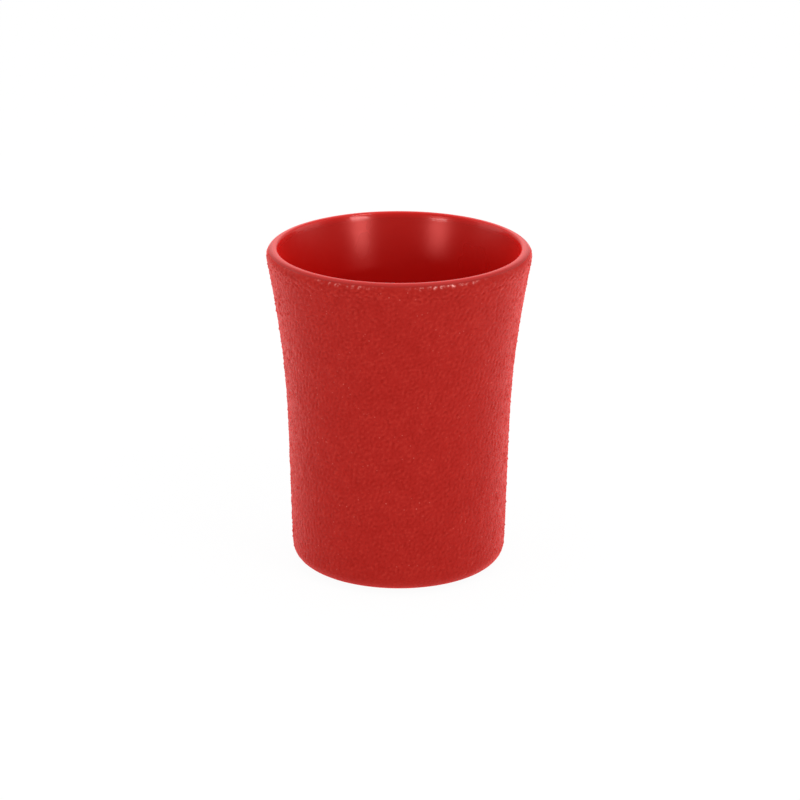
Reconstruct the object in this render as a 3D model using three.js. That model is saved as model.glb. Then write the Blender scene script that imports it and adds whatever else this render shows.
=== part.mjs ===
// A handleless porcelain cup with a flared wall: a fired porcelain body and the glaze coats fused to it.
// Millimetres, +Z up. The origin is the centre of the foot ring's resting face.
import * as THREE from "three";

// Driving dimensions of the finished, glazed cup
const cupHeight = 103; // table to the top of the lip
const rimDiameter = 82; // widest, at the lip
const heelDiameter = 67; // where the rounded heel would meet an upright wall
const heelRadius = 5; // rounding between the underside and the wall
const heelLeanDegrees = 2; // how far the outside leans out just above the heel
const rimLeanDegrees = 10.4; // how far the outside leans out at the lip
const heelReach = 46; // how far up the outside keeps close to its lean at the heel
const rimReach = 40; // how far down the outside keeps close to its lean at the lip
const lipThickness = 3.7; // the wall is thinnest here
const lipInnerRadius = 0.9; // the tighter, inner rounding of the lip
const joinDegrees = 43; // how far up the lip's outer rounding the two coats meet
const wellDiameter = 58.6; // where the well's rounding would meet an upright inner wall
const wellRadius = 7; // rounding between the inner wall and the inner floor
const wellLeanDegrees = 1.5; // how far the inside leans out just above the well
const mouthLeanDegrees = 14.5; // how far the inside leans out at the lip
const wellReach = 50; // how far up the inside keeps close to its lean at the well
const mouthReach = 30; // how far down the inside keeps close to its lean at the lip
const baseThickness = 5; // from the underside's recess up to the inner floor

// The foot ring, left bare, that the cup stands on
const footHeight = 1; // the heel's underside clears the table by this much
const footInset = 1.2; // bare flat between the foot ring and the heel's rounding
const footWidth = 3;
const footRounding = 0.4;
const recessDepth = 2; // the glazed underside inside the ring clears the table by this much

// Glaze coats
const outerGlaze = 0.5; // the textured coat outside
const innerGlaze = 0.3; // the smooth coat inside and over the lip
const baseGlaze = 0.3; // the coat inside the foot ring

// Facets
const stepsAround = 48;
const wallSteps = 9;
const heelSteps = 5;
const wellSteps = 5;
const lipSteps = 3; // on each of the lip's arcs above its widest point
const footSteps = 2;

const radians = THREE.MathUtils.degToRad;
const point = (radius, height) => new THREE.Vector2(radius, height);

// A point on a circle of the outline's plane: 0 degrees points away from the cup's axis, 90 points up.
function onCircle(centre, radius, degrees) {
  const angle = radians(degrees);
  return point(centre.x + radius * Math.cos(angle), centre.y + radius * Math.sin(angle));
}

// Evenly spaced values, both ends included.
function spaced(from, to, steps) {
  return Array.from({ length: steps + 1 }, (_, i) => from + ((to - from) * i) / steps);
}

// Points along an arc, both ends included.
function arc(centre, radius, from, to, steps) {
  return spaced(from, to, steps).map((degrees) => onCircle(centre, radius, degrees));
}

// The lip is two arcs with one crown, the outer tangent to the wall's outside and the inner to its inside.
const rimLeanShare = Math.sin(radians(rimLeanDegrees));
const lipOuterRadius = (lipThickness - lipInnerRadius * (1 - rimLeanShare)) / (1 + rimLeanShare);
const crownRadius = rimDiameter / 2 - lipOuterRadius;
const lipOuterCentre = point(crownRadius, cupHeight - lipOuterRadius);
const lipInnerCentre = point(crownRadius, cupHeight - lipInnerRadius);

// A side of the wall is one cubic curve between two roundings, which it meets at its lean there.
function wallCurve(foot, footLean, footReach, top, topLean, topReach) {
  const alongLean = (degrees, length) => onCircle(point(0, 0), length, 90 - degrees);
  return new THREE.CubicBezierCurve(
    foot,
    foot.clone().add(alongLean(footLean, footReach)),
    top.clone().sub(alongLean(topLean, topReach)),
    top,
  );
}

// The outside of the wall, from the heel's rounding to the lip's
const heelCentre = point(heelDiameter / 2 - heelRadius, footHeight + heelRadius);
const outerWall = wallCurve(
  onCircle(heelCentre, heelRadius, -heelLeanDegrees), heelLeanDegrees, heelReach,
  onCircle(lipOuterCentre, lipOuterRadius, -rimLeanDegrees), rimLeanDegrees, rimReach,
);

// The inside of the wall, from the well's rounding to the lip's
const floorHeight = recessDepth + baseThickness;
const wellCentre = point(wellDiameter / 2 - wellRadius, floorHeight + wellRadius);
const innerWall = wallCurve(
  onCircle(wellCentre, wellRadius, -wellLeanDegrees), wellLeanDegrees, wellReach,
  onCircle(lipInnerCentre, lipInnerRadius, 180 - mouthLeanDegrees), mouthLeanDegrees, mouthReach,
);

// Points along a side of the wall, moved out from the cup's axis square to it, without the curve's two ends.
function wallLine(curve, outward) {
  return spaced(0, 1, wallSteps).slice(1, -1).map((share) => {
    const along = curve.getTangent(share);
    return curve.getPoint(share).add(point(along.y, -along.x).multiplyScalar(outward));
  });
}

// The cup's outside at a depth under the glaze's surface, from the heel's underside to the join of the coats.
function outside(depth) {
  return [
    ...arc(heelCentre, heelRadius - depth, -90, -heelLeanDegrees, heelSteps),
    ...wallLine(outerWall, -depth),
    onCircle(lipOuterCentre, lipOuterRadius - depth, -rimLeanDegrees),
    ...arc(lipOuterCentre, lipOuterRadius - depth, 0, joinDegrees, lipSteps),
  ];
}

// The cup's inside at a depth likewise, from the join of the coats over the lip to the floor's centre.
function inside(depth) {
  return [
    ...arc(lipOuterCentre, lipOuterRadius - depth, joinDegrees, 90, lipSteps),
    ...arc(lipInnerCentre, lipInnerRadius - depth, 90, 180 - mouthLeanDegrees, lipSteps).slice(1),
    ...wallLine(innerWall, depth).reverse(),
    ...arc(wellCentre, wellRadius + depth, -wellLeanDegrees, -90, wellSteps),
    point(0, floorHeight - depth),
  ];
}

// The foot ring stands inside the heel's rounding: its bare outline runs from the recess round to the heel.
const footOuterRadius = heelCentre.x - footInset;
const footInnerRadius = footOuterRadius - footWidth;
const recessCeiling = recessDepth + baseGlaze;
function footOutline() {
  const innerEdge = point(footInnerRadius + footRounding, footRounding);
  const outerEdge = point(footOuterRadius - footRounding, footRounding);
  return [
    point(footInnerRadius, recessCeiling),
    point(footInnerRadius, recessDepth),
    ...arc(innerEdge, footRounding, 180, 270, footSteps),
    ...arc(outerEdge, footRounding, 270, 360, footSteps),
    point(footOuterRadius, footHeight + outerGlaze),
  ];
}

// Outlines run round their solids anticlockwise, seen with the cup's axis to the left.
function porcelainOutline() {
  return [point(0, recessCeiling), ...footOutline(), ...outside(outerGlaze), ...inside(innerGlaze)];
}

function texturedGlazeOutline() {
  const surface = outside(0);
  return [...surface, ...outside(outerGlaze).reverse(), surface[0]];
}

function smoothGlazeOutline() {
  return [...inside(innerGlaze).reverse(), ...inside(0)];
}

function baseGlazeOutline() {
  const surface = [point(0, recessDepth), point(footInnerRadius, recessDepth)];
  return [...surface, point(footInnerRadius, recessCeiling), point(0, recessCeiling)];
}

// A piece of the cup: its outline turned about the cup's axis, which is +Z.
function piece(name, outline, material) {
  const geometry = new THREE.LatheGeometry(outline, stepsAround).rotateX(Math.PI / 2);
  const mesh = new THREE.Mesh(geometry, material);
  mesh.name = name;
  return mesh;
}

const barePorcelain = new THREE.MeshStandardMaterial({ color: 0xe9e3d8, roughness: 0.6, metalness: 0 });
const texturedRed = new THREE.MeshStandardMaterial({ color: 0xac2521, roughness: 0.5, metalness: 0 });
const smoothRed = new THREE.MeshStandardMaterial({ color: 0xa81d19, roughness: 0.3, metalness: 0 });

const cup = new THREE.Group();
cup.add(
  piece("porcelain_body", porcelainOutline(), barePorcelain),
  piece("textured_outer_glaze", texturedGlazeOutline(), texturedRed),
  piece("smooth_inner_glaze", smoothGlazeOutline(), smoothRed),
  piece("base_glaze", baseGlazeOutline(), smoothRed),
);

export default cup;
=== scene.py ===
import bpy
import numpy as np
from mathutils import Matrix, Vector


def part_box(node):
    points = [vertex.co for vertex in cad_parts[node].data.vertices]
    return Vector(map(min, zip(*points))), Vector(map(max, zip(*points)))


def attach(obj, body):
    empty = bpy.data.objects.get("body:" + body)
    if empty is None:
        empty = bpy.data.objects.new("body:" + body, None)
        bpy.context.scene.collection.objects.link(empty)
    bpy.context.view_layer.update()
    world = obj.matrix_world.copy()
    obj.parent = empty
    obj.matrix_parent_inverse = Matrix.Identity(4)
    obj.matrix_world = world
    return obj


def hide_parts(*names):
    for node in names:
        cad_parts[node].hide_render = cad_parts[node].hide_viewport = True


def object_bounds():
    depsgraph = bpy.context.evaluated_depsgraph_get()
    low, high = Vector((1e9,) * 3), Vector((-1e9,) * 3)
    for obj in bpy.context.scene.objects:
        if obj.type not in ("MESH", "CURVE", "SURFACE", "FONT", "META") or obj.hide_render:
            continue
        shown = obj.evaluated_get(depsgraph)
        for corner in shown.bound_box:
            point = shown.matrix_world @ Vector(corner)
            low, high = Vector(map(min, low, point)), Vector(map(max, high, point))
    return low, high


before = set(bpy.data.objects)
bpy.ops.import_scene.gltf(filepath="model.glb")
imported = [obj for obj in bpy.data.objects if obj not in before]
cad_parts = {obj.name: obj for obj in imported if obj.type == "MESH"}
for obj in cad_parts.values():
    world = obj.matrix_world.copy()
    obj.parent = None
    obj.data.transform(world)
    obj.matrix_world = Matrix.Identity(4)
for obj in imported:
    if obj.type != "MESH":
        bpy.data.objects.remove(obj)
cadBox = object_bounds()
scene = bpy.context.scene
scene.view_settings.view_transform = "Standard"
print("frame loaded:", ", ".join(sorted(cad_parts)))

# The cup's outline, in mm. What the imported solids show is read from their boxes, the rest is the potter's drawing.
cupForm = dict(
    heelAcross=67.0,      # where the heel's rounding would meet an upright wall
    heelRadius=5.0,
    heelLean=2.0,         # degrees that the outside leans out just above the heel
    rimLean=10.4,         # and at the lip
    heelReach=46.0,       # how far up the outside keeps close to its lean at the heel
    rimReach=40.0,        # how far down it keeps close to its lean at the lip
    lipThickness=3.7,
    lipInnerRadius=0.9,   # the tighter, inner rounding of the lip
    coatJoin=43.0,        # degrees up the lip's outer rounding where the two coats meet
    wellAcross=58.6,      # where the well's rounding would meet an upright inner wall
    wellRadius=7.0,       # rounding between the inner wall and the inner floor
    wellLean=1.5,         # degrees that the inside leans out just above the well
    mouthLean=14.5,       # and at the lip
    wellReach=50.0,       # how far up the inside keeps close to its lean at the well
    mouthReach=30.0,      # how far down it keeps close to its lean at the lip
)


# lowest and highest corner of a solid, in mm
def nodeBox(node):
    low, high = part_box(node)
    return np.array(low) * 1000, np.array(high) * 1000


outerLow, outerHigh = nodeBox("textured_outer_glaze")
innerLow, innerHigh = nodeBox("smooth_inner_glaze")
bodyHigh = nodeBox("porcelain_body")[1]
baseLow, baseHigh = nodeBox("base_glaze")
outerCoat = outerHigh[0] - bodyHigh[0]        # thickness of the textured coat
innerCoat = innerHigh[2] - bodyHigh[2]        # and of the smooth one
floorHeight = innerLow[2] + innerCoat
footInnerRadius, recessDepth, recessCeiling = baseHigh[0], baseLow[2], baseHigh[2]

# the lip is two arcs with one crown, the outer tangent to the wall's outside and the inner to its inside
leanShare = np.sin(np.radians(cupForm["rimLean"]))
lipInnerRadius = cupForm["lipInnerRadius"]
lipOuterRadius = (cupForm["lipThickness"] - lipInnerRadius * (1 - leanShare)) / (1 + leanShare)
crownRadius = outerHigh[0] - lipOuterRadius
lipOuterCentre = np.array([crownRadius, innerHigh[2] - lipOuterRadius])
lipInnerCentre = np.array([crownRadius, innerHigh[2] - lipInnerRadius])
heelRadius, wellRadius = cupForm["heelRadius"], cupForm["wellRadius"]
heelCentre = np.array([cupForm["heelAcross"] / 2 - heelRadius, outerLow[2] + heelRadius])
wellCentre = np.array([cupForm["wellAcross"] / 2 - wellRadius, floorHeight + wellRadius])


# a direction in the outline's plane: 0 degrees points away from the cup's axis, 90 points up
def pointing(degrees):
    angle = np.radians(degrees)
    return np.stack([np.cos(angle), np.sin(angle)], -1)


# an arc: the centre plus the radius times directions that turn evenly, its points about one step apart
def arcLine(centre, radius, start, end, step):
    count = max(4, int(np.ceil(abs(np.radians(end - start)) * radius / step)) + 1)
    return centre + radius * pointing(np.linspace(start, end, count))


# a straight line between two points, its points about one step apart
def straightLine(start, end, step):
    count = max(2, int(np.ceil(np.hypot(*np.subtract(end, start)) / step)) + 1)
    return np.linspace(start, end, count)


# the four points of a side of the wall, one cubic curve between two roundings, which it meets at its lean there
def wallCurve(foot, footLean, footReach, top, topLean, topReach):
    return np.array([
        foot, foot + footReach * pointing(90 - footLean), top - topReach * pointing(90 - topLean), top])


outerWall = wallCurve(
    heelCentre + heelRadius * pointing(-cupForm["heelLean"]), cupForm["heelLean"], cupForm["heelReach"],
    lipOuterCentre + lipOuterRadius * pointing(-cupForm["rimLean"]), cupForm["rimLean"], cupForm["rimReach"])
innerWall = wallCurve(
    wellCentre + wellRadius * pointing(-cupForm["wellLean"]), cupForm["wellLean"], cupForm["wellReach"],
    lipInnerCentre + lipInnerRadius * pointing(180 - cupForm["mouthLean"]),
    cupForm["mouthLean"], cupForm["mouthReach"])


# a side of the wall: its four points weighted by the shares (1-t)^3, 3t(1-t)^2, 3t^2(1-t) and t^3,
# then moved out from the cup's axis, square to the curve
def wallLine(curve, outward, step):
    t = np.linspace(0, 1, int(np.ceil((curve[3, 1] - curve[0, 1]) / step)) + 1)[:, None]
    place = np.concatenate([(1 - t) ** 3, 3 * t * (1 - t) ** 2, 3 * t ** 2 * (1 - t), t ** 3], 1) @ curve
    along = np.concatenate([(1 - t) ** 2, 2 * t * (1 - t), t ** 2], 1) @ np.diff(curve, axis=0)
    along = along / np.linalg.norm(along, axis=1, keepdims=True)
    return place + outward * np.stack([along[:, 1], -along[:, 0]], 1)


# the outside at a depth under the glaze, from the heel's underside to the join of the coats
def outsideLine(depth, step):
    heel = arcLine(heelCentre, heelRadius - depth, -90, -cupForm["heelLean"], step)
    wall = wallLine(outerWall, -depth, step)
    lip = arcLine(lipOuterCentre, lipOuterRadius - depth, -cupForm["rimLean"], cupForm["coatJoin"], step)
    return np.concatenate([heel, wall[1:], lip[1:]])


# the inside likewise, from the join of the coats over the lip and down to the floor's centre
def insideLine(depth, lipStep, wallStep):
    over = arcLine(lipOuterCentre, lipOuterRadius - depth, cupForm["coatJoin"], 90, lipStep)
    down = arcLine(lipInnerCentre, lipInnerRadius - depth, 90, 180 - cupForm["mouthLean"], lipStep)
    wall = wallLine(innerWall, depth, wallStep)[::-1]
    well = arcLine(wellCentre, wellRadius + depth, -cupForm["wellLean"], -90, wallStep)
    floor = straightLine(well[-1], (0, floorHeight - depth), wallStep)
    return np.concatenate([over, down[1:], wall[1:], well[1:], floor[1:]])


# a line's lengths from its start to each point, and its unit normals, the running direction turned to the right
def lengthsAndNormals(line):
    lengths = np.concatenate([[0], np.cumsum(np.hypot(*np.diff(line, axis=0).T))])
    along = np.gradient(line, axis=0)
    along = along / np.linalg.norm(along, axis=1, keepdims=True)
    return lengths, np.stack([along[:, 1], -along[:, 0]], 1)


# Band noise: seeded white noise keeps only the waves between two lengths in mm, under a bell-shaped window on the
# logarithm of the wave length, so that its bumps have about one size; it joins up with itself all round. It is made
# on even rows and read off at the given lengths along an outline.
def bandNoise(lengths, columns, columnStep, longest, shortest, seed):
    rowStep = shortest / 6   # six rows to the shortest wave
    rows = int(lengths[-1] / rowStep) + 2
    white = np.random.default_rng(seed).standard_normal((rows, columns))
    waves = np.hypot(np.fft.fftfreq(rows, rowStep)[:, None], np.fft.fftfreq(columns, columnStep)[None, :])
    waves = np.maximum(waves, 1e-9)   # the mean is no wave, and this keeps its logarithm finite
    octaves = np.log(waves * np.sqrt(longest * shortest)) / (0.5 * np.log(longest / shortest))
    noise = np.fft.ifft2(np.fft.fft2(white) * np.exp(-octaves ** 2)).real
    noise = (noise - noise.mean()) / noise.std()
    below = (lengths / rowStep).astype(int)
    share = (lengths / rowStep - below)[:, None]
    return noise[below] * (1 - share) + noise[below + 1] * share


# eases from 0 to 1 between two values, as 3x^2 - 2x^3
def ease(value, start, end):
    x = np.clip((value - start) / (end - start), 0, 1)
    return x * x * (3 - 2 * x)


nearAxis = 1e-6                # mm, a radius below this counts as on the axis
sharpAngle = np.radians(50)    # faces that meet at more than this keep a hard edge


# A surface turned about the cup's axis: the point of a row and a column is at that radius and height, at the column's
# share of a turn. Rows run anticlockwise round the outline, seen with the axis to the left, so the faces point out.
# An outline that starts and ends on the axis closes in a point there; any other one joins its last row to its first.
def turnedPiece(name, radius, height, material, **values):
    onAxis = radius[0, 0] < nearAxis
    turn = np.linspace(0, 2 * np.pi, radius.shape[1], endpoint=False)
    points = np.stack([radius * np.cos(turn), radius * np.sin(turn), height], -1) / 1000
    rings = slice(1, -1) if onAxis else slice(None)
    ends = points[[0, -1], 0] if onAxis else points[:0, 0]
    index = np.arange(points[rings, :, 0].size).reshape(-1, radius.shape[1])
    beside = np.roll(index, -1, 1)
    above, besideAbove = np.roll(index, -1, 0), np.roll(beside, -1, 0)
    quads = np.stack([index, beside, besideAbove, above], -1)[:len(index) - onAxis].reshape(-1, 4)
    low, high = np.full_like(index[0], index.size), np.full_like(index[0], index.size + 1)
    fans = np.concatenate([
        np.stack([low, beside[0], index[0]], -1), np.stack([index[-1], beside[-1], high], -1)])
    fans = fans[:len(fans) * onAxis]

    mesh = bpy.data.meshes.new(name)
    places = np.concatenate([points[rings].reshape(-1, 3), ends])
    corners = np.concatenate([quads.ravel(), fans.ravel()])
    starts = np.concatenate([np.arange(len(quads)) * 4, quads.size + np.arange(len(fans)) * 3])
    mesh.vertices.add(len(places))
    mesh.vertices.foreach_set("co", places.ravel())
    mesh.loops.add(len(corners))
    mesh.loops.foreach_set("vertex_index", corners.astype(np.int32))
    mesh.polygons.add(len(starts))
    mesh.polygons.foreach_set("loop_start", starts.astype(np.int32))
    mesh.polygons.foreach_set("use_smooth", np.ones(len(starts), bool))
    mesh.update(calc_edges=True)
    mesh.set_sharp_from_angle(angle=sharpAngle)
    for key, value in values.items():
        held = np.concatenate([value[rings].ravel(), value[[0, -1], 0] if onAxis else value[:0, 0]])
        mesh.attributes.new(key, "FLOAT", "POINT").data.foreach_set("value", held.astype(np.float32))
    mesh.materials.append(material)
    piece = bpy.data.objects.new(name, mesh)
    scene.collection.objects.link(piece)
    print(name, len(quads) * 2 + len(fans), "triangles")
    return piece


# an sRGB hex colour as linear red, green, blue and alpha, by the sRGB curve
def hexColour(code):
    encoded = np.array([int(code[i:i + 2], 16) for i in (1, 3, 5)]) / 255
    linear = np.where(encoded <= 0.04045, encoded / 12.92, ((encoded + 0.055) / 1.055) ** 2.4)
    return (*linear.tolist(), 1.0)


# adds a node: settings are its properties, and each input takes a value or another node's output
def addNode(tree, kind, settings=None, inputs=None):
    node = tree.nodes.new(kind)
    for key, value in (settings or {}).items():
        setattr(node, key, value)
    for key, value in (inputs or {}).items():
        if isinstance(value, bpy.types.NodeSocket):
            tree.links.new(value, node.inputs[key])
        else:
            node.inputs[key].default_value = value
    return node


# a value that the mesh carries at each of its points
def carried(tree, name):
    return addNode(tree, "ShaderNodeAttribute", dict(attribute_name=name)).outputs["Fac"]


# soft noise whose bumps are about one size across, in mm
def softNoise(tree, place, size, detail, roughness=0.5):
    return addNode(tree, "ShaderNodeTexNoise", None, {
        "Vector": place, "Scale": 1000 / size, "Detail": detail, "Roughness": roughness}).outputs["Fac"]


# distance to the nearest of some scattered points, as a share of their spacing in mm
def fromDots(tree, place, spacing):
    return addNode(tree, "ShaderNodeTexVoronoi", None, {
        "Vector": place, "Scale": 1000 / spacing}).outputs["Distance"]


# rings round the cup's axis at a spacing in mm: the node has 20 waves in 2 pi of its units
def ringMarks(tree, place, spacing, distortion, detailScale=1.0):
    return addNode(tree, "ShaderNodeTexWave", dict(wave_type="RINGS", rings_direction="Z"), {
        "Vector": place, "Scale": 1000 * 2 * np.pi / (20 * spacing), "Distortion": distortion,
        "Detail": 2.0, "Detail Scale": detailScale}).outputs["Fac"]


# runs evenly from low to high while the value runs from start to end, and stays there beyond them
def mapped(tree, value, start, end, low=0.0, high=1.0):
    return addNode(tree, "ShaderNodeMapRange", None, {
        "Value": value, "From Min": start, "From Max": end, "To Min": low, "To Max": high}).outputs["Result"]


def maths(tree, operation, *values, clamped=False):
    settings = dict(operation=operation, use_clamp=clamped)
    return addNode(tree, "ShaderNodeMath", settings, dict(enumerate(values))).outputs["Value"]


def mixColour(tree, share, first, second, blend="MIX"):
    settings = dict(data_type="RGBA", blend_type=blend)
    return addNode(tree, "ShaderNodeMix", settings, {0: share, 6: first, 7: second}).outputs[2]


def mixValue(tree, share, first, second):
    return addNode(tree, "ShaderNodeMix", dict(data_type="FLOAT"), {0: share, 2: first, 3: second}).outputs[0]


# the normal of a surface with a fine relief, its full height in mm
def bumped(tree, relief, height):
    return addNode(tree, "ShaderNodeBump", None, {
        "Strength": 1.0, "Distance": height / 1000, "Height": relief}).outputs["Normal"]


# an empty material, its nodes and the place on the piece
def newMaterial(name):
    material = bpy.data.materials.new(name)
    material.use_nodes = True
    tree = material.node_tree
    tree.nodes.clear()
    return material, tree, addNode(tree, "ShaderNodeTexCoord").outputs["Object"]


# ends a material with its shader
def endMaterial(tree, inputs):
    shader = addNode(tree, "ShaderNodeBsdfPrincipled", None, inputs)
    addNode(tree, "ShaderNodeOutputMaterial", None, {"Surface": shader.outputs["BSDF"]})


noiseLow, noiseMiddle, noiseHigh = 0.3, 0.5, 0.7   # most of the soft noise lies between the first and the last

# Textured red glaze: a matt red glaze sprayed over a sanded slip and fired on porcelain. The eye sees fine grains a
# millimetre or two wide, a little paler and glossier on their tops, a few pale specks that are painted glints, broken
# glossy drops under the lip whose pale colour is a painted glint, and a soft red glow where the wall turns away.
texturedRed = dict(
    middle="#A0211C",
    pits="#971B15",
    tops="#A92A23",
    reliefRange=2.0,       # how far from the middle the pits and the tops have their full colour
    cloudSize=9.0,         # mm, uneven thickness of the coat
    cloudShare=0.12,       # how far that moves the colour, from 0 for pits to 1 for tops
    paintedGlints="#C55F56",      # painted glints: pale specks standing in for light catching the grains
    speckSpacing=2.0,      # mm
    speckFade=(0.06, 0.13),    # shares of the spacing where a speck is full and where it ends
    speckShare=0.7,
    glintCloud=(0.48, 0.6),    # cloud where the painted glints start, and where they are full
    grainRoughness=0.28,
    roughnessSwing=0.12,   # rougher in the pits, smoother on the tops
    bandRoughness=0.36,    # where the grains fade out under the lip and at the heel
    drops="#F6ADA5",       # painted glints: a pale colour on the glossy drops along the texture's upper border
    dropRoughness=0.18,
    dropBreaks=(0.4, 0.58),    # fine noise where a drop is broken and where it is whole
    fineGrain=0.7,         # mm, the finest grains, too small for the mesh
    fineHeight=0.065,      # mm
    shader={
        "Diffuse Roughness": 1.0, "IOR": 1.5, "Specular IOR Level": 0.06, "Specular Tint": (1.0, 0.5, 0.46, 1.0),
        "Sheen Weight": 1.0, "Sheen Roughness": 0.4, "Sheen Tint": (1.0, 0.065, 0.058, 1.0), "Coat Roughness": 0.1},
)
texturedGlaze, tree, place = newMaterial("textured_red_glaze")
relief, grain, drops = [carried(tree, name) for name in ("relief", "grain", "drops")]
cloud = softNoise(tree, place, texturedRed["cloudSize"], 3.0)
fine = softNoise(tree, place, texturedRed["fineGrain"], 2.0, 0.55)
drops = maths(tree, "MULTIPLY", drops, mapped(tree, fine, *texturedRed["dropBreaks"]))
fine = maths(tree, "SUBTRACT", fine, noiseMiddle)
fine = maths(tree, "MULTIPLY", fine, grain)

# the colour runs from pits over middle to tops with the relief, the cloud and the fine grains
lift = mapped(tree, relief, -texturedRed["reliefRange"], texturedRed["reliefRange"])
drift = mapped(tree, cloud, noiseLow, noiseHigh, -texturedRed["cloudShare"], texturedRed["cloudShare"])
drift = maths(tree, "ADD", drift, fine)
shade = maths(tree, "ADD", lift, drift, clamped=True)
red = mixColour(tree, mapped(tree, shade, 0.0, 0.5), hexColour(texturedRed["pits"]), hexColour(texturedRed["middle"]))
red = mixColour(tree, mapped(tree, shade, 0.5, 1.0), red, hexColour(texturedRed["tops"]))
# painted glints: pale specks in patches of the cloud, standing in for light catching the grains
glintDots = fromDots(tree, place, texturedRed["speckSpacing"])
speck = mapped(tree, glintDots, *texturedRed["speckFade"], texturedRed["speckShare"], 0.0)
glintPatches = maths(tree, "MULTIPLY", mapped(tree, cloud, *texturedRed["glintCloud"]), grain)
speck = maths(tree, "MULTIPLY", speck, glintPatches)
red = mixColour(tree, speck, red, hexColour(texturedRed["paintedGlints"]))
# painted glints: the drops take a pale colour that stands in for the lamps' glints on them
red = mixColour(tree, drops, red, hexColour(texturedRed["drops"]))

worn = mapped(tree, shade, 0.0, 1.0, texturedRed["grainRoughness"] + texturedRed["roughnessSwing"],
              texturedRed["grainRoughness"] - texturedRed["roughnessSwing"])
rough = mixValue(tree, grain, texturedRed["bandRoughness"], worn)
rough = mixValue(tree, drops, rough, texturedRed["dropRoughness"])
endMaterial(tree, {
    "Base Color": red, "Roughness": rough, "Coat Weight": drops,
    "Normal": bumped(tree, fine, texturedRed["fineHeight"]), **texturedRed["shader"]})

# Satin red glaze: the same red poured inside and over the lip, and fired smooth. The eye sees a clean soft gloss with
# blurred bright bars where the lamps mirror in it, a thin bright line along the lip, where a clear gloss lies on top,
# and slow drifts where it pooled. Its colour is graded along its length from the join of the coats as painted light
# and shade: dark on the lip's shoulder, bright on its crown, darker just under the lip and brighter deep inside.
satinRed = dict(
    shoulder="#8A130D",    # painted shade, darker on the lip's outer shoulder at the join of the coats
    crown="#CA140D",       # painted light, brighter on the top of the lip
    underLipPaintedShade="#A8110B",     # painted shade, darker just under the lip
    middle="#B50804",      # from the full length on; painted light, brighter to offset the shade deep in the cup
    crownLength=2.3,       # mm from the join to the top of the lip
    underLipLength=4.6,     # to just under the lip
    fullLength=20.0,       # and to where the ramp reaches the inside's colour
    pooled=(0.95, 0.85, 0.85, 1.0),   # what remains of its colour where it pooled
    poolSize=14.0,         # mm
    poolRange=(0.2, 0.8),      # noise where it is thin and where it pooled
    roughness=0.29,
    roughnessSwing=0.02,   # smoother where it pooled
    lipRoughness=0.25,
    lipCoat=0.36,          # share of clear gloss on the lip
    lipFade=(3.9, 5.1),        # mm from the join over which the lip's gloss gives way to the inside's
    skinSize=2.5,          # mm, the faint orange-peel of a fired glaze
    skinHeight=0.002,      # mm
    shader={
        "Diffuse Roughness": 0.3, "IOR": 1.7, "Specular IOR Level": 0.72, "Specular Tint": (1.0, 0.22, 0.2, 1.0),
        "Sheen Weight": 0.85, "Sheen Roughness": 0.4, "Sheen Tint": (1.0, 0.02, 0.015, 1.0), "Coat Roughness": 0.07},
)
satinGlaze, tree, place = newMaterial("satin_red_glaze")
length = carried(tree, "length")
pool = softNoise(tree, place, satinRed["poolSize"], 2.0)
skin = softNoise(tree, place, satinRed["skinSize"], 1.0)
fullLength = satinRed["fullLength"]
# the colour ramp paints light and shade along the glaze, from the shoulder over the crown to deep inside
ramp = addNode(tree, "ShaderNodeValToRGB", None, {"Fac": maths(tree, "DIVIDE", length, fullLength)})
stops = ramp.color_ramp.elements
stops[0].color, stops[1].color = hexColour(satinRed["shoulder"]), hexColour(satinRed["middle"])
stops.new(satinRed["crownLength"] / fullLength).color = hexColour(satinRed["crown"])
stops.new(satinRed["underLipLength"] / fullLength).color = hexColour(satinRed["underLipPaintedShade"])
pooled = mapped(tree, pool, *satinRed["poolRange"])
red = mixColour(tree, pooled, ramp.outputs["Color"], satinRed["pooled"], "MULTIPLY")
inside = mapped(tree, length, *satinRed["lipFade"])
rough = mapped(tree, pool, noiseLow, noiseHigh, satinRed["roughness"] + satinRed["roughnessSwing"],
               satinRed["roughness"] - satinRed["roughnessSwing"])
rough = mixValue(tree, inside, satinRed["lipRoughness"], rough)
endMaterial(tree, {
    "Base Color": red, "Roughness": rough, "Coat Weight": mapped(tree, inside, 0.0, 1.0, satinRed["lipCoat"], 0.0),
    "Normal": bumped(tree, skin, satinRed["skinHeight"]), **satinRed["shader"]})

# Base glaze: the same satin red brushed inside the foot ring. The eye sees soft round brush marks and a thicker rim.
baseRed = dict(
    middle="#A5130C",
    thin="#AE2018",
    roughness=0.33,
    strokeWidth=1.6,       # mm between brush marks
    strokeHeight=0.015,    # mm
    strokeWander=2.5,      # how unevenly they run
    shader={"IOR": 1.5, "Specular Tint": (1.0, 0.3, 0.27, 1.0)},
)
baseGlaze, tree, place = newMaterial("base_red_glaze")
strokes = ringMarks(tree, place, baseRed["strokeWidth"], baseRed["strokeWander"], 1.5)
red = mixColour(tree, strokes, hexColour(baseRed["middle"]), hexColour(baseRed["thin"]))
endMaterial(tree, {
    "Base Color": red, "Roughness": baseRed["roughness"],
    "Normal": bumped(tree, strokes, baseRed["strokeHeight"]), **baseRed["shader"]})

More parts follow.
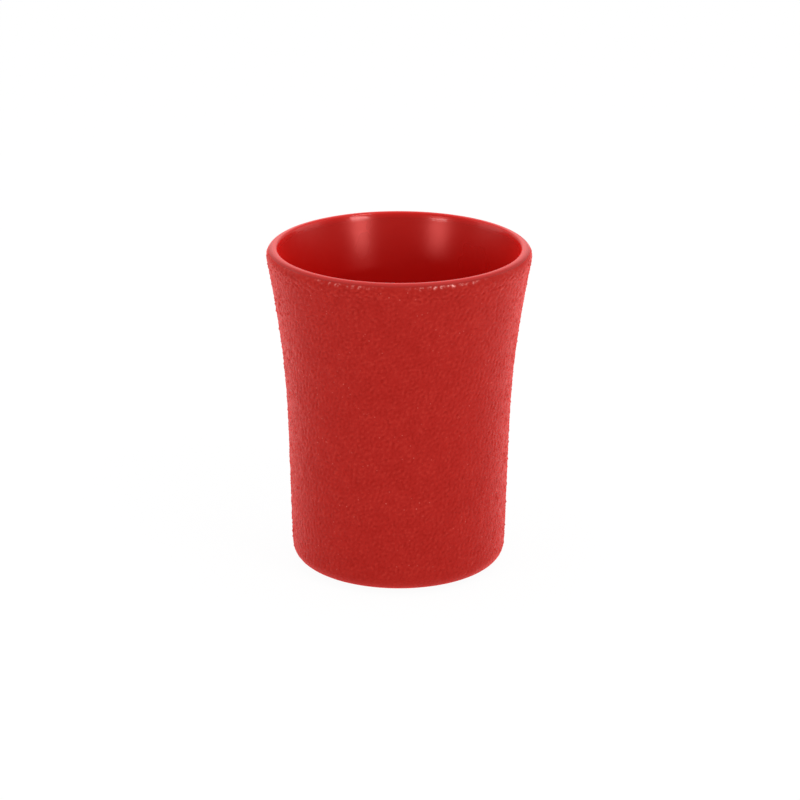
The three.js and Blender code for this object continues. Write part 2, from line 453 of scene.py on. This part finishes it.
# Bare porcelain: vitrified but unglazed, its foot ground on a wheel. The eye sees a dry off-white with a fine tooth,
# faint grinding rings and a few grey specks.
barePorcelain = dict(
    clay="#E9E3D8",
    rubbed="#D9D0C2",
    rubbedSize=6.0,        # mm, patches that are rubbed
    rubbedRange=(0.4, 0.7),    # noise where they start and where they are full
    rubbedShare=0.8,
    speck="#8D857A",
    speckSpacing=2.2,      # mm
    speckFade=(0.05, 0.09),    # shares of the spacing where a speck is full and where it ends
    speckShare=0.6,
    roughness=0.6,
    toothSize=0.35,        # mm
    toothHeight=0.012,     # mm
    ringSpacing=0.5,       # mm between grinding rings
    ringWander=0.6,        # how unevenly they run
    ringShare=0.4,         # their height next to the tooth's
    shader={"IOR": 1.5},
)
porcelain, tree, place = newMaterial("bare_porcelain")
tooth = softNoise(tree, place, barePorcelain["toothSize"], 2.0)
patches = softNoise(tree, place, barePorcelain["rubbedSize"], 3.0)
dots = fromDots(tree, place, barePorcelain["speckSpacing"])
ground = ringMarks(tree, place, barePorcelain["ringSpacing"], barePorcelain["ringWander"])
rubbed = mapped(tree, patches, *barePorcelain["rubbedRange"], 0.0, barePorcelain["rubbedShare"])
clay = mixColour(tree, rubbed, hexColour(barePorcelain["clay"]), hexColour(barePorcelain["rubbed"]))
speck = mapped(tree, dots, *barePorcelain["speckFade"], barePorcelain["speckShare"], 0.0)
clay = mixColour(tree, speck, clay, hexColour(barePorcelain["speck"]))
grit = maths(tree, "MULTIPLY_ADD", ground, barePorcelain["ringShare"], tooth)
endMaterial(tree, {
    "Base Color": clay, "Roughness": barePorcelain["roughness"],
    "Normal": bumped(tree, grit, barePorcelain["toothHeight"]), **barePorcelain["shader"]})
print("materials made")

# Textured outer glaze: the outside's outline turned, each point moved out along the outline's normal by the relief.
# The relief is grains of band noise with sharpened tops, which rise below an uneven border on the lip's shoulder.
# Along that border the glaze has drawn together into drops: a bell-shaped ridge times short waves. The drops also
# carry the pale colour of painted glints.
outerForm = dict(
    traceStep=0.02,        # mm, of the outline that the rows are placed on
    rowStep=0.6,           # mm along the outline
    shoulderStep=0.2,      # mm, finer rows for the drops
    shoulderReach=5.0,     # mm below the join of the coats that have the finer rows
    columns=480,
    meanRadius=36.5,       # mm, for the width of a column
    hiddenStep=12.0,       # mm, on the side against the porcelain
    grainWaves=(2.7, 1.0),     # mm, longest and shortest wave of the grains
    swellWaves=(9.0, 3.5),     # mm, of slower swells under them
    swellShare=0.3,
    sharpness=0.2,         # how much more the tops stand out than the pits
    reliefHeight=0.080,    # mm, root mean square
    grainFade=(0.2, 1.6),      # mm below the border over which the grains rise
    heelFade=(2.0, 10.0),      # mm along the outline, from under the heel, likewise
    swings=4,              # times round that the border swings up and down
    swingTurn=96.0,        # degrees that this starts ahead
    swingHeight=0.12,      # mm
    teethWaves=(4.0, 1.5),     # mm, of short drips along the border
    teethHeight=0.22,      # mm
    dropHeight=0.09,       # mm
    dropSpan=0.41,         # mm across the border
    beadWaves=(6.0, 1.0),      # mm, of the drops along the border
    beadRange=(-0.4, 1.2),     # these waves' values where a drop starts and where it is full
    lowDrops=0.5,          # size of the drops where the border swings low
    dropSide=(0.4, 0.85),      # sine of the turn over which the drops rise, none at the cup's left and right
    seed=7,
)
traced = outsideLine(0, outerForm["traceStep"])
tracedLengths = lengthsAndNormals(traced)[0]
shoulder = tracedLengths[-1] - outerForm["shoulderReach"]
rowLengths = np.concatenate([
    straightLine((0, 0), (shoulder, 0), outerForm["rowStep"])[:-1, 0],
    straightLine((shoulder, 0), (tracedLengths[-1], 0), outerForm["shoulderStep"])[:, 0]])
surface = np.stack([np.interp(rowLengths, tracedLengths, traced[:, i]) for i in (0, 1)], 1)
lengths, normal = lengthsAndNormals(surface)
hidden = outsideLine(outerCoat, outerForm["hiddenStep"])[::-1]
columns, seed = outerForm["columns"], outerForm["seed"]
columnStep = 2 * np.pi * outerForm["meanRadius"] / columns
grid = (lengths, columns, columnStep)
around = (np.zeros(1), columns, columnStep)
grains = bandNoise(*grid, *outerForm["grainWaves"], seed)
swells = bandNoise(*grid, *outerForm["swellWaves"], seed + 1)
mixed = grains + outerForm["swellShare"] * swells
tops = np.exp(outerForm["sharpness"] * mixed / mixed.std())
relief = (tops - tops.mean()) / tops.std()
teeth = bandNoise(*around, *outerForm["teethWaves"], seed + 2)
beads = bandNoise(*around, *outerForm["beadWaves"], seed + 3)
turn = np.linspace(0, 2 * np.pi, columns, endpoint=False)
swing = np.cos(outerForm["swings"] * turn + np.radians(outerForm["swingTurn"]))
border = outerForm["swingHeight"] * swing + outerForm["teethHeight"] * teeth
belowBorder = (lengths[-1] - lengths)[:, None] - border
grainShare = ease(belowBorder, *outerForm["grainFade"]) * ease(lengths[:, None], *outerForm["heelFade"])
gathered = swing ** 2 * np.where(swing < 0, 1.0, outerForm["lowDrops"])   # most where the border swings high
gathered = gathered * ease(abs(np.sin(turn)), *outerForm["dropSide"])
ridge = np.exp(-((belowBorder - outerForm["dropSpan"]) / outerForm["dropSpan"]) ** 2)
drops = ridge * ease(beads, *outerForm["beadRange"]) * gathered
move = outerForm["reliefHeight"] * relief * grainShare + outerForm["dropHeight"] * drops
radius = np.concatenate([surface[:, :1] + normal[:, :1] * move, np.repeat(hidden[:, :1], columns, 1)])
height = np.concatenate([surface[:, 1:] + normal[:, 1:] * move, np.repeat(hidden[:, 1:], columns, 1)])
plain = np.zeros((len(hidden), columns))
outerGlazePiece = turnedPiece(
    "outer_glaze", radius, height, texturedGlaze, relief=np.concatenate([relief * grainShare, plain]),
    grain=np.concatenate([grainShare, plain]), drops=np.concatenate([drops, plain]))

# Smooth inner glaze: the inside's outline turned, with slow waves of about 0.01 mm where it pooled.
innerForm = dict(
    lipStep=0.14,          # mm along the lip's arcs
    wallStep=0.9,          # mm along the wall, the well and the floor
    columns=256,
    meanRadius=33.0,       # mm, for the width of a column
    hiddenLipStep=1.0,     # mm, on the side against the porcelain
    hiddenWallStep=12.0,
    waves=(40.0, 14.0),    # mm, longest and shortest
    waveHeight=0.012,      # mm, root mean square
    lipCalm=(0.5, 12.0),       # mm from the join over which the waves rise
    centreCalm=(2.0, 16.0),    # mm from the floor's centre, likewise
    seed=21,
)
surface = insideLine(0, innerForm["lipStep"], innerForm["wallStep"])
lengths, normal = lengthsAndNormals(surface)
hidden = insideLine(innerCoat, innerForm["hiddenLipStep"], innerForm["hiddenWallStep"])[::-1]
columns = innerForm["columns"]
columnStep = 2 * np.pi * innerForm["meanRadius"] / columns
waves = bandNoise(lengths, columns, columnStep, *innerForm["waves"], innerForm["seed"])
calm = ease(lengths, *innerForm["lipCalm"]) * ease(surface[:, 0], *innerForm["centreCalm"])
move = innerForm["waveHeight"] * waves * calm[:, None]
radius = np.concatenate([np.repeat(hidden[:, :1], columns, 1), surface[:, :1] + normal[:, :1] * move])
height = np.concatenate([np.repeat(hidden[:, 1:], columns, 1), surface[:, 1:] + normal[:, 1:] * move])
fromJoin = np.repeat(np.concatenate([np.zeros(len(hidden)), lengths])[:, None], columns, 1)
innerGlazePiece = turnedPiece("inner_glaze", radius, height, satinGlaze, length=fromJoin)

# Base glaze: a disc inside the foot ring whose surface dips at its edge, where the glaze crept down the ring's wall:
# its height is the recess's, less the creep times a falling exponential of the distance from the ring.
baseForm = dict(creep=0.45, creepReach=0.6, step=0.35, columns=160)   # mm
rimward = straightLine((0, 0), (footInnerRadius, 0), baseForm["step"])[:, 0]
dip = recessDepth - baseForm["creep"] * np.exp(-(footInnerRadius - rimward) / baseForm["creepReach"])
dip = dip + (recessDepth - dip[0]) * (1 - rimward / footInnerRadius)
outline = np.concatenate([
    np.stack([rimward, dip], 1), [[footInnerRadius, recessCeiling], [0, recessCeiling]]])
radius, height = [np.repeat(outline[:, i:i + 1], baseForm["columns"], 1) for i in (0, 1)]
baseGlazePiece = turnedPiece("foot_glaze", radius, height, baseGlaze)

# Porcelain body: the recess, the ground foot ring and the surfaces under the coats, turned as one outline.
bodyForm = dict(
    footInset=1.2,         # mm from the heel's underside to the ring
    footRounding=0.4,      # mm
    footStep=0.12,         # mm along its roundings
    lipStep=1.0,           # mm, under the coats
    hiddenStep=6.0,
    columns=192,
)
footOuterRadius = heelCentre[0] - bodyForm["footInset"]
rounding = bodyForm["footRounding"]
outline = np.concatenate([
    straightLine((0, recessCeiling), (footInnerRadius, recessCeiling), bodyForm["hiddenStep"]),
    arcLine(np.array([footInnerRadius + rounding, rounding]), rounding, 180, 270, bodyForm["footStep"]),
    arcLine(np.array([footOuterRadius - rounding, rounding]), rounding, 270, 360, bodyForm["footStep"]),
    [[footOuterRadius, outerLow[2] + outerCoat]],
    outsideLine(outerCoat, bodyForm["hiddenStep"]),
    insideLine(innerCoat, bodyForm["lipStep"], bodyForm["hiddenStep"])[1:],
])
radius, height = [np.repeat(outline[:, i:i + 1], bodyForm["columns"], 1) for i in (0, 1)]
bodyPiece = turnedPiece("porcelain", radius, height, porcelain)

for piece, node, slot in (
    (outerGlazePiece, "textured_outer_glaze", "textured_red_glaze"),
    (innerGlazePiece, "smooth_inner_glaze", "satin_red_glaze"),
    (baseGlazePiece, "base_glaze", "base_red_glaze"),
    (bodyPiece, "porcelain_body", "bare_porcelain"),
):
    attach(piece, "root")
    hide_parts(node)
print("pieces ride on root")

# Floor: a white board under the cup that shows white to the camera and keeps a trace of the cup's shadow. In gloss it
# shows its own shade near the cup and white farther off. It can be seen through from below and under the foot.
floorForm = dict(
    halfWidth=4.0,         # metres
    sink=5e-5,             # metres below the foot, so that the two faces don't coincide
    board="#F4F4F4",
    shown=0.95,            # share of plain white
    shadeSpan=(0.05, 0.4),     # metres from the axis where gloss shows the board's shade and where it shows the white
    window=0.027,          # metres, radius of the clear window under the foot
)
floorMaterial, tree, place = newMaterial("white_board")
rays = addNode(tree, "ShaderNodeLightPath").outputs
away = addNode(tree, "ShaderNodeVectorMath", dict(operation="LENGTH"), {"Vector": place}).outputs["Value"]
seen = maths(tree, "MAXIMUM", rays["Is Glossy Ray"], rays["Is Transmission Ray"])
seen = maths(tree, "MULTIPLY", seen, mapped(tree, away, *floorForm["shadeSpan"]))
seen = maths(tree, "MAXIMUM", rays["Is Camera Ray"], seen)
white = maths(tree, "MULTIPLY", seen, floorForm["shown"])
board = addNode(tree, "ShaderNodeBsdfDiffuse", None, {"Color": hexColour(floorForm["board"])}).outputs["BSDF"]
glow = addNode(tree, "ShaderNodeEmission", None, {"Color": (1, 1, 1, 1), "Strength": 1.0}).outputs["Emission"]
top = addNode(tree, "ShaderNodeMixShader", None, {0: white, 1: board, 2: glow}).outputs["Shader"]
clear = addNode(tree, "ShaderNodeBsdfTransparent").outputs["BSDF"]
under = addNode(tree, "ShaderNodeNewGeometry").outputs["Backfacing"]
seeThrough = maths(tree, "MAXIMUM", under, maths(tree, "LESS_THAN", away, floorForm["window"]))
faced = addNode(tree, "ShaderNodeMixShader", None, {0: seeThrough, 1: top, 2: clear}).outputs["Shader"]
addNode(tree, "ShaderNodeOutputMaterial", None, {"Surface": faced})
reach, level = floorForm["halfWidth"], -floorForm["sink"]
floorMesh = bpy.data.meshes.new("floor")
floorMesh.from_pydata(
    [(-reach, -reach, level), (reach, -reach, level), (reach, reach, level), (-reach, reach, level)],
    [], [(0, 1, 2, 3)])
floorMesh.materials.append(floorMaterial)
floor = bpy.data.objects.new("floor", floorMesh)
scene.collection.objects.link(floor)

# Light tent: white all round to the camera and as light. In gloss it has a bright soft panel behind the cup, is
# dimmer around it, and nearly dark in front, where the tent is open to the room.
tent = dict(
    strength=1.06,
    panel=0.9,             # in gloss
    panelRise=22.0,        # degrees above the floor
    panelCore=12.0,        # degrees from its middle up to which it is full
    panelEdge=36.0,        # and at which it has faded
    around=0.4,            # in gloss, the rest of the tent
    room=0.12,             # in gloss, the open front
    roomSpan=(-0.6, 0.0),      # how far back a direction points where it meets the room and where it meets the tent
)
world = bpy.data.worlds.new("light_tent")
scene.world = world
world.use_nodes = True
tree = world.node_tree
tree.nodes.clear()
rays = addNode(tree, "ShaderNodeLightPath").outputs
heading = addNode(tree, "ShaderNodeTexCoord").outputs["Generated"]
panelRise, panelCore, panelEdge = [np.radians(tent[key]) for key in ("panelRise", "panelCore", "panelEdge")]
toPanel = addNode(tree, "ShaderNodeVectorMath", dict(operation="DOT_PRODUCT"), {
    0: heading, 1: (0, np.cos(panelRise), np.sin(panelRise))}).outputs["Value"]
panel = mapped(tree, toPanel, np.cos(panelEdge), np.cos(panelCore), 0.0, tent["panel"])
back = addNode(tree, "ShaderNodeSeparateXYZ", None, {"Vector": heading}).outputs["Y"]
rest = mapped(tree, back, *tent["roomSpan"], tent["room"], tent["around"])
mirrored = maths(tree, "MAXIMUM", panel, rest)
glossy = maths(tree, "MAXIMUM", rays["Is Glossy Ray"], rays["Is Transmission Ray"])
bright = mixValue(tree, glossy, tent["strength"], mirrored)
bright = maths(tree, "MAXIMUM", rays["Is Camera Ray"], bright)
sky = addNode(tree, "ShaderNodeBackground", None, {"Color": (1, 1, 1, 1), "Strength": bright}).outputs["Background"]
addNode(tree, "ShaderNodeOutputWorld", None, {"Surface": sky})

# Lamps: turn 0 is the camera's side and 90 the cup's right, in degrees; sizes in metres. A lamp at one side mirrors
# in the far wall at the other: the two keys make the bars inside, and the window the bright line on the far lip.
lamps = {
    "key_right": dict(turn=40, rise=11.4, away=0.8, width=0.2, tall=0.12, watts=0.58),
    "window_right": dict(turn=39, rise=17.2, away=0.78, width=0.26, tall=0.012, watts=0.36),
    "key_left": dict(turn=-39, rise=11.4, away=0.8, width=0.23, tall=0.12, watts=0.88),
    "side_left": dict(turn=-100, rise=20, away=0.8, width=0.5, tall=0.6, watts=0.55),
    "side_right": dict(turn=100, rise=20, away=0.8, width=0.5, tall=0.6, watts=0.55),
    "strip_right": dict(turn=45, rise=50, away=0.8, width=0.24, tall=0.03, watts=1.0),
    "overhead": dict(turn=0, rise=88, away=0.8, width=1.0, tall=1.0, watts=0.5),
}


# stands at a distance from a place, in a direction from it, and faces it
def facing(aim, outward, away):
    return Matrix.Translation(aim + outward * away) @ (-outward).to_track_quat("-Z", "Y").to_matrix().to_4x4()


lampAim = Vector((0, 0, (cadBox[0].z + cadBox[1].z) / 2))
for name, lamp in lamps.items():
    turn, rise = np.radians(lamp["turn"]), np.radians(lamp["rise"])
    outward = Vector((np.sin(turn) * np.cos(rise), -np.cos(turn) * np.cos(rise), np.sin(rise)))
    data = bpy.data.lights.new(name, "AREA")
    data.shape = "RECTANGLE"
    data.size, data.size_y, data.energy = lamp["width"], lamp["tall"], lamp["watts"]
    lampObject = bpy.data.objects.new(name, data)
    lampObject.matrix_world = facing(lampAim, outward, lamp["away"])
    lampObject.visible_camera = False
    scene.collection.objects.link(lampObject)
print("floor, tent and", len(lamps), "lamps set")

# Camera: looks down at the cup from its front.
photoView = dict(
    rise=19.45,            # degrees
    roll=0.146,
    away=1.001,            # metres
    aim=(0.00036, 0.0, 0.0526),
    lens=143.6,            # mm
    sensor=36.0,
    clip=(0.05, 50.0),     # metres, nearest and farthest that it sees
)
rise = np.radians(photoView["rise"])
outward = Vector((0, -np.cos(rise), np.sin(rise)))
cameraData = bpy.data.cameras.new("camera")
cameraData.lens, cameraData.sensor_width = photoView["lens"], photoView["sensor"]
cameraData.clip_start, cameraData.clip_end = photoView["clip"]
camera = bpy.data.objects.new("camera", cameraData)
camera.matrix_world = (facing(Vector(photoView["aim"]), outward, photoView["away"])
                       @ Matrix.Rotation(np.radians(photoView["roll"]), 4, "Z"))
scene.collection.objects.link(camera)
scene.camera = camera
print("camera set")
